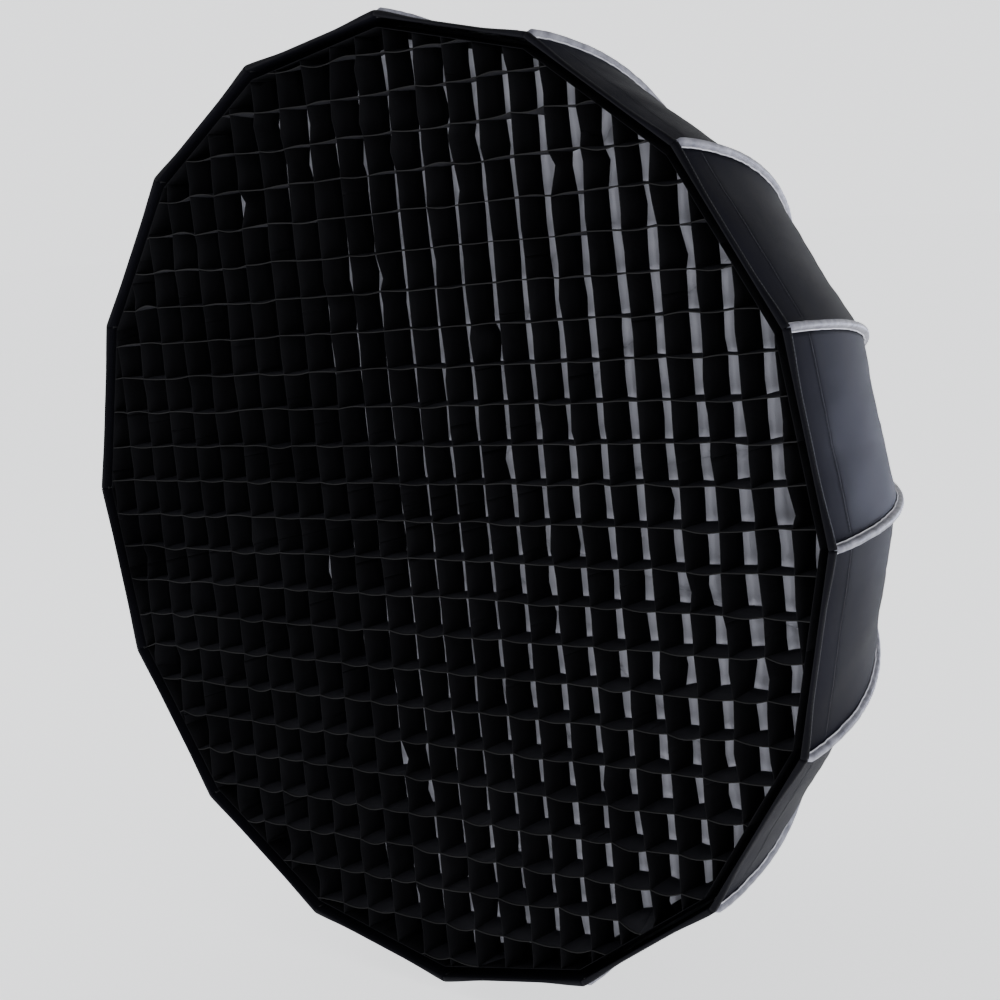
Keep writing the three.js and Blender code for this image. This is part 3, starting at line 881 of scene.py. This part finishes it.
def make_grid():
    crate = EggCrate()
    tubes = [strip_sections(crate, upright, number)
             for upright in (True, False) for number in range(crate.count)]
    finishes = [GRID_CLOTH, GRID_LEVEL_PAINTED_LIGHT, GRID_HEM_PAINTED_HIGHLIGHT]
    # Slot 1 is the level strips' painted-light copy of the grid cloth.
    slots = [0] * crate.count + [1] * crate.count
    whole = solid_piece("grid_whole", tubes, finishes, slots)
    # The level strips' front hem faces take the painted highlight.
    for face in whole.data.polygons:
        if face.material_index == 1 and face.center.y < RIM_Y + GRID_SETBACK + HEM_LENGTH:
            face.material_index = 2
    for index in range(RIB_COUNT):
        work = bmesh.new()
        work.from_mesh(whole.data)
        for side in (-1, 1):
            cut(work, (0, 0, 0), sector_plane(index, side))
            outward = polar(1, rib_angle(index) + side * HALF_STEP, 0)
            cut(work, outward * (GRID_RADIUS * math.cos(HALF_STEP) - CUT_INSET), outward)
        band = solid_piece("band", edge_band(index), finishes)
        work.from_mesh(band.data)
        bpy.data.objects.remove(band)
        piece = make_piece("grid_" + label(index), [], [], finishes)
        work.to_mesh(piece.data)
        work.free()
        fold_away(piece, "corner_tab_" + label(index))
        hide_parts("grid")
    bpy.data.objects.remove(whole)


# ---- corner tabs and inner straps --------
def strap_sections(index, inner, outer, width, thickness, y):
    """A flat strap with rounded edges, lying along a radius."""
    half, edge = width / 2, thickness / 2
    outline = [(-half, 0), (-half + edge, -edge), (half - edge, -edge), (half, 0), (half - edge, edge),
               (-half + edge, edge)]
    sections = []
    for reach in np.linspace(inner, outer, 12):
        ripple = 0.0003 * math.sin(reach * 900 + index)
        sections.append([beside(rib_angle(index), reach, side, y + high + ripple)
                         for side, high in outline])
    return sections


def box_stitch(index, inner, y):
    """The corners of a stitched square with one diagonal, in sewing order."""
    near, far, half = inner + 0.004, inner + 0.02, 0.008
    spots = ((near, -half), (near, half), (far, half), (far, -half), (near, -half), (far, half))
    return [beside(rib_angle(index), reach, side, y) for reach, side in spots]


def make_corner_tab(index):
    node = "corner_tab_" + label(index)
    low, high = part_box("corner_tab_01")
    y, inner, outer = (low.y + high.y) / 2, low.z, high.z
    strap = strap_sections(index, inner, outer, high.x - low.x, (high.y - low.y) * 0.8, y)
    path = box_stitch(index, inner, high.y - 0.0002)
    tubes = [strap]
    for start, end in zip(path, path[1:]):
        tubes += stitches([start, end], Vector((0, 1, 0)))
    piece = solid_piece("corner_webbing_" + label(index), tubes, [WEBBING, THREAD],
                        [0] + [1] * (len(tubes) - 1))
    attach(piece, node)
    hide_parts(node)


def make_inner_strap(index):
    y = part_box("inner_diffuser")[0].y + 0.0008
    strap = strap_sections(index, *STRAP_REACH, STRAP_WIDTH, STRAP_THICKNESS, y)
    piece = solid_piece("inner_strap_" + label(index), [strap], [WEBBING])
    fold_away(piece, "rib_" + label(index))
    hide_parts("inner_diffuser")


# ---- hub and adapter --------
THROAT = 0.056          # the adapter's radii
TUBE = 0.064
FLANGE = 0.076
TUBE_FRONT = -0.052
FLANGE_FRONT = -0.007
CLAW_COUNT = 3
CLAW_HALF_ARC = math.radians(19)
ADAPTER_SCREWS = (0.0697, 6)     # the radius of their circle, and their number

COVER_RADIUS = 0.105
COVER_REAR = -0.016
COVER_RIBS = (0.0872, 0.0955)    # they lie between these radii
COVER_RIB_COUNT = 32
COVER_SCREWS = (0.0985, 8)
COLLAR_INNER = 0.0775
COLLAR_OUTER = 0.085
COLLAR_REAR = -0.002
COLLAR_Y = -0.009       # the buttons and the clamp screw sit here

BUTTON_ANGLES = {"left": -4.5 * STEP, "right": 3.5 * STEP}
BUTTON_WIDTH = 0.018
BUTTON_HEIGHT = 0.008
BUTTON_REACH = (0.080, 0.0934)
SLIDE_GAP = 0.0004
WINDOW_REACH = (0.069, 0.099)    # the cuts run right through the collar's wall
HOLE_REACH = (0.07, 0.095)

SCREW_ANGLE = 8.5 * STEP
SHANK_RADIUS = 0.003
THREAD_START = 0.0772
THREAD_PITCH = 0.0007
THREAD_TURNS = 34
KNOB_REACH = (0.107, 0.125)
KNOB_RADIUS = 0.009


def apply_cuts(piece, cutters):
    """Cuts closed pieces out of a piece, then removes them."""
    for cutter in cutters:
        modifier = piece.modifiers.new("cut", "BOOLEAN")
        modifier.object = cutter
        modifier.operation = "DIFFERENCE"
        modifier.solver = "EXACT"
    shaped = piece.evaluated_get(bpy.context.evaluated_depsgraph_get())
    cut_mesh = bpy.data.meshes.new_from_object(shaped)
    piece.modifiers.clear()
    piece.data = cut_mesh
    for cutter in cutters:
        bpy.data.objects.remove(cutter)


def box_sections(width, height, inner, outer, y, angle):
    """A box lying along a radius, as two rings."""
    return [[beside(angle, reach, side * width / 2, y + up * height / 2)
             for side, up in ((-1, -1), (1, -1), (1, 1), (-1, 1))] for reach in (inner, outer)]


def round_sections(profile, y, angle, sides, lobes=0, depth=0.0):
    """A turned shape whose axis lies along a radius; profile is (reach, radius) points. Its lobes
    are parted by hollows of this depth."""
    rings = []
    for reach, radius in profile:
        ring = []
        for k in range(sides):
            turn = 2 * math.pi * k / sides
            size = radius - depth * (1 - math.cos(lobes * turn)) / 2
            ring.append(beside(angle, reach, size * math.cos(turn), y + size * math.sin(turn)))
        rings.append(ring)
    return rings


def screw_head(radius_from_axis, angle, y, size):
    """A domed head with a hexagonal socket, facing +Y."""
    centre = polar(radius_from_axis, angle, y)
    profile = ((size, -0.0008), (size, 0.0004), (size * 0.92, 0.0009), (size * 0.6, 0.0013),
               (size * 0.5, 0.0013), (size * 0.48, 0.0002))
    sides = 24
    rings = []
    for radius, lift in profile:
        ring = []
        for k in range(sides):
            turn = 2 * math.pi * k / sides
            hexagon = 0.92 if radius < size * 0.55 and k % 4 == 2 else 1.0
            ring.append(centre + Vector((math.cos(turn) * radius * hexagon, lift,
                                         math.sin(turn) * radius * hexagon)))
        rings.append(ring)
    return rings


def add_screws(name, body, slot, radius_from_axis, count, y, offset, size):
    heads = [screw_head(radius_from_axis, offset + k * 2 * math.pi / count, y, size) for k in range(count)]
    piece = solid_piece(name, heads, [STEEL])
    piece.data.polygons.foreach_set("use_smooth", [False] * len(piece.data.polygons))
    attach(piece, body)


def make_adapter():
    profile = [(THROAT, TUBE_FRONT), (TUBE - 0.0005, TUBE_FRONT), (TUBE, TUBE_FRONT + 0.0005),
               (TUBE, FLANGE_FRONT - 0.001), (TUBE + 0.001, FLANGE_FRONT), (FLANGE - EASE, FLANGE_FRONT),
               (FLANGE, FLANGE_FRONT + EASE), (FLANGE, -EASE), (FLANGE - EASE, 0), (0.0735, 0),
               (0.0731, -0.0005), (0.0725, -0.0005), (0.0721, 0), (0.0665, 0), (0.0661, -0.0004),
               (THROAT + EASE, -0.0004), (THROAT, -0.001)]
    body = lathe_piece("adapter_body", profile, [BARE_METAL], 128)
    round_edges(body, 50, EASE)
    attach(body, "adapter")
    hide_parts("adapter_ring")
    make_claws()
    add_screws("adapter_screws", "adapter", "adapter_metal", *ADAPTER_SCREWS, 0.0, math.pi / 6, 0.0022)


def make_claws():
    """The lamp's bayonet: three hooked arcs behind the flange."""
    inner, lip, root, rear = 0.058, 0.069, -0.0012, 0.011
    section = [(inner, root), (TUBE, root), (TUBE, 0.007), (lip, 0.007), (lip, rear - 0.0002),
               (lip - 0.0005, rear), (inner + 0.0005, rear), (inner, rear - 0.0005)]
    claws = []
    for k in range(CLAW_COUNT):
        middle = math.pi / 2 - k * 2 * math.pi / CLAW_COUNT
        turns = np.linspace(middle - CLAW_HALF_ARC, middle + CLAW_HALF_ARC, 17)
        claws.append([[polar(radius, turn, y) for radius, y in section] for turn in turns])
    piece = solid_piece("bayonet_claws", claws, [BARE_METAL])
    round_edges(piece, 40, 0.0004)
    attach(piece, "adapter")


def make_retaining_ring():
    low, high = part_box("retaining_ring")
    outer = high.x
    profile = [(THROAT, low.y), (outer - EASE, low.y), (outer, low.y + EASE), (outer, high.y - 0.0004),
               (outer - 0.0004, high.y), (THROAT, high.y)]
    ring = lathe_piece("retaining_ring_turned", profile, [HUB_METAL], 96)
    round_edges(ring, 50, EASE)
    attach(ring, "adapter")
    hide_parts("retaining_ring")


def cover_profile():
    rear, outer, skirt = COVER_REAR, COVER_RADIUS, COVER_RADIUS - 0.003
    return [(0.066, -0.0185), (skirt, -0.0185), (skirt, -0.029), (outer - EASE, -0.029), (outer, -0.0284),
            (outer, rear - 0.002), (outer - 0.0012, rear - 0.0004), (0.1015, rear), (0.1008, rear - EASE),
            (0.0962, rear - EASE), (COVER_RIBS[1], rear), (COVER_RIBS[0], rear),
            (COLLAR_OUTER + 0.0004, rear + 0.0012), (COLLAR_OUTER, rear + 0.003),
            (COLLAR_OUTER, COLLAR_REAR - 0.0008), (COLLAR_OUTER - 0.0008, COLLAR_REAR),
            (COLLAR_INNER + 0.0008, COLLAR_REAR), (COLLAR_INNER, COLLAR_REAR - 0.0008),
            (COLLAR_INNER, rear), (0.0665, rear), (0.066, rear - EASE)]


def make_cover():
    cover = lathe_piece("hub_cover_moulded", cover_profile(), [HUB_PLASTIC], 144)
    width, height = BUTTON_WIDTH + 2 * SLIDE_GAP, BUTTON_HEIGHT + 2 * SLIDE_GAP
    cuts = [box_sections(width, height, *WINDOW_REACH, COLLAR_Y, angle) for angle in BUTTON_ANGLES.values()]
    hole = [(reach, SHANK_RADIUS + SLIDE_GAP) for reach in HOLE_REACH]
    cuts.append(round_sections(hole, COLLAR_Y, SCREW_ANGLE, 32))
    apply_cuts(cover, [solid_piece("cutter", [sections], [HUB_PLASTIC]) for sections in cuts])
    round_edges(cover, 40, 0.0004)
    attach(cover, "hub")
    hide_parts("hub_cover")
    face = COVER_REAR + EASE
    ribs = [box_sections(0.0022, 0.0016, *COVER_RIBS, face, (k + 0.5) * 2 * math.pi / COVER_RIB_COUNT)
            for k in range(COVER_RIB_COUNT)]
    piece = solid_piece("cover_ribs", ribs, [HUB_PLASTIC])
    round_edges(piece, 40, FINE_EASE)
    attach(piece, "hub")
    add_screws("cover_screws", "hub", "hub_plastic", *COVER_SCREWS, COVER_REAR - EASE, HALF_STEP, 0.0028)


def make_button(side):
    angle = BUTTON_ANGLES[side]
    node = "release_button_" + side
    body = box_sections(BUTTON_WIDTH, BUTTON_HEIGHT, *BUTTON_REACH, COLLAR_Y, angle)
    piece = solid_piece(node + "_cap", [body], [RED])
    round_edges(piece, 40, 0.0013, 4)
    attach(piece, node)
    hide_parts(node)
    outer = BUTTON_REACH[1]
    grip = box_sections(0.001, BUTTON_HEIGHT - 0.0022, outer - EASE, outer + EASE, COLLAR_Y, angle)
    grips = []
    for k in range(-2, 3):
        shift = tangent(angle) * (k * 0.0027)
        grips.append([[point + shift for point in ring] for ring in grip])
    ridges = solid_piece(node + "_grips", grips, [RED])
    round_edges(ridges, 40, FINE_EASE)
    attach(ridges, node)


def make_clamp_screw():
    (inner, outer), radius = KNOB_REACH, KNOB_RADIUS
    profile = [(inner, 0.005), (inner + 0.0006, 0.0085), (inner + 0.0018, radius), (outer - 0.002, radius),
               (outer - 0.0008, radius - 0.0004), (outer - 0.0001, radius - 0.0014),
               (outer - 0.0001, 0.0052), (outer - 0.0012, 0.0048)]
    lobed = round_sections(profile, COLLAR_Y, SCREW_ANGLE, 96, 6, 0.0022)
    knob = solid_piece("clamp_knob", [lobed], [HUB_PLASTIC])
    round_edges(knob, 40, FINE_EASE)
    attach(knob, "clamp_screw")
    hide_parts("clamp_screw")
    thread = [(0.0766, 0.002)]
    for k in range(THREAD_TURNS):
        crest = THREAD_START + k * THREAD_PITCH
        thread += [(crest, SHANK_RADIUS), (crest + THREAD_PITCH / 2, SHANK_RADIUS - 0.0003)]
    thread += [(0.1012, SHANK_RADIUS), (0.1082, SHANK_RADIUS)]
    disc = [(outer - 0.0016, 0.0046), (outer - 0.0008, 0.0046), (outer - 0.0006, 0.0042)]
    shank = solid_piece("clamp_shank", [round_sections(thread, COLLAR_Y, SCREW_ANGLE, 32),
                                        round_sections(disc, COLLAR_Y, SCREW_ANGLE, 48)], [STEEL])
    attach(shank, "clamp_screw")


GAITER_PLEATS = 64
GAITER_CLOTH = 0.0008
# Its section, from the cover's skirt to the gores, as radius and y.
GAITER_PATH = ((0.1054, -0.0245), (0.1058, -0.028), (0.1075, -0.0325), (0.1105, -0.0368),
               (0.1145, -0.0396), (0.1185, -0.0412), (0.1205, -0.0425))


def make_gaiter():
    """Gathered cloth between the cover's skirt and the gores."""
    around, size = GAITER_PLEATS * 8, len(GAITER_PATH)
    points = []
    for k in range(around):
        turn = 2 * math.pi * k / around
        x, z = math.cos(turn) * 9, math.sin(turn) * 9
        for step, (radius, y) in enumerate(GAITER_PATH):
            fade = min(step, size - 1 - step) / 3
            pleat = 0.0009 * fade * math.cos(GAITER_PLEATS * turn)
            pleat += 0.0006 * fade * noise.noise(Vector((x, z, step * 0.4)))
            points.append(polar(radius + pleat * 0.6, turn, y + pleat))
    faces = []
    for k in range(around):
        ahead = (k + 1) % around
        faces += [(k * size + c, k * size + c + 1, ahead * size + c + 1, ahead * size + c)
                  for c in range(size - 1)]
    piece = make_piece("neck_gaiter", points, faces, [BINDING])
    face_outwards(piece)
    thicken(piece, GAITER_CLOTH)
    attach(piece, "hub")


def finish_frame_parts():
    """The carried-over parts of the frame: their finish and rounded edges."""
    finishes = {"hub_ring": HUB_PLASTIC, "hinge_wire": STEEL, "lock_ring": HUB_METAL}
    for index in range(RIB_COUNT):
        finishes["rib_" + label(index)] = ROD
    for node, material in finishes.items():
        part = bpy.data.objects[node]
        part.data.materials.clear()
        part.data.materials.append(material)
        if node != "hinge_wire":
            round_edges(part, 50, FINE_EASE)


# ---- assembly --------
make_camera()
make_stage()
for rib in range(RIB_COUNT):
    make_sleeve(rib)
    make_gore(rib)
    make_rim_band(rib)
    make_gore_stitching(rib)
    make_corner_tab(rib)
    make_inner_strap(rib)
make_diffusers()
make_grid()
make_adapter()
make_retaining_ring()
make_cover()
for hand in BUTTON_ANGLES:
    make_button(hand)
make_clamp_screw()
make_gaiter()
finish_frame_parts()
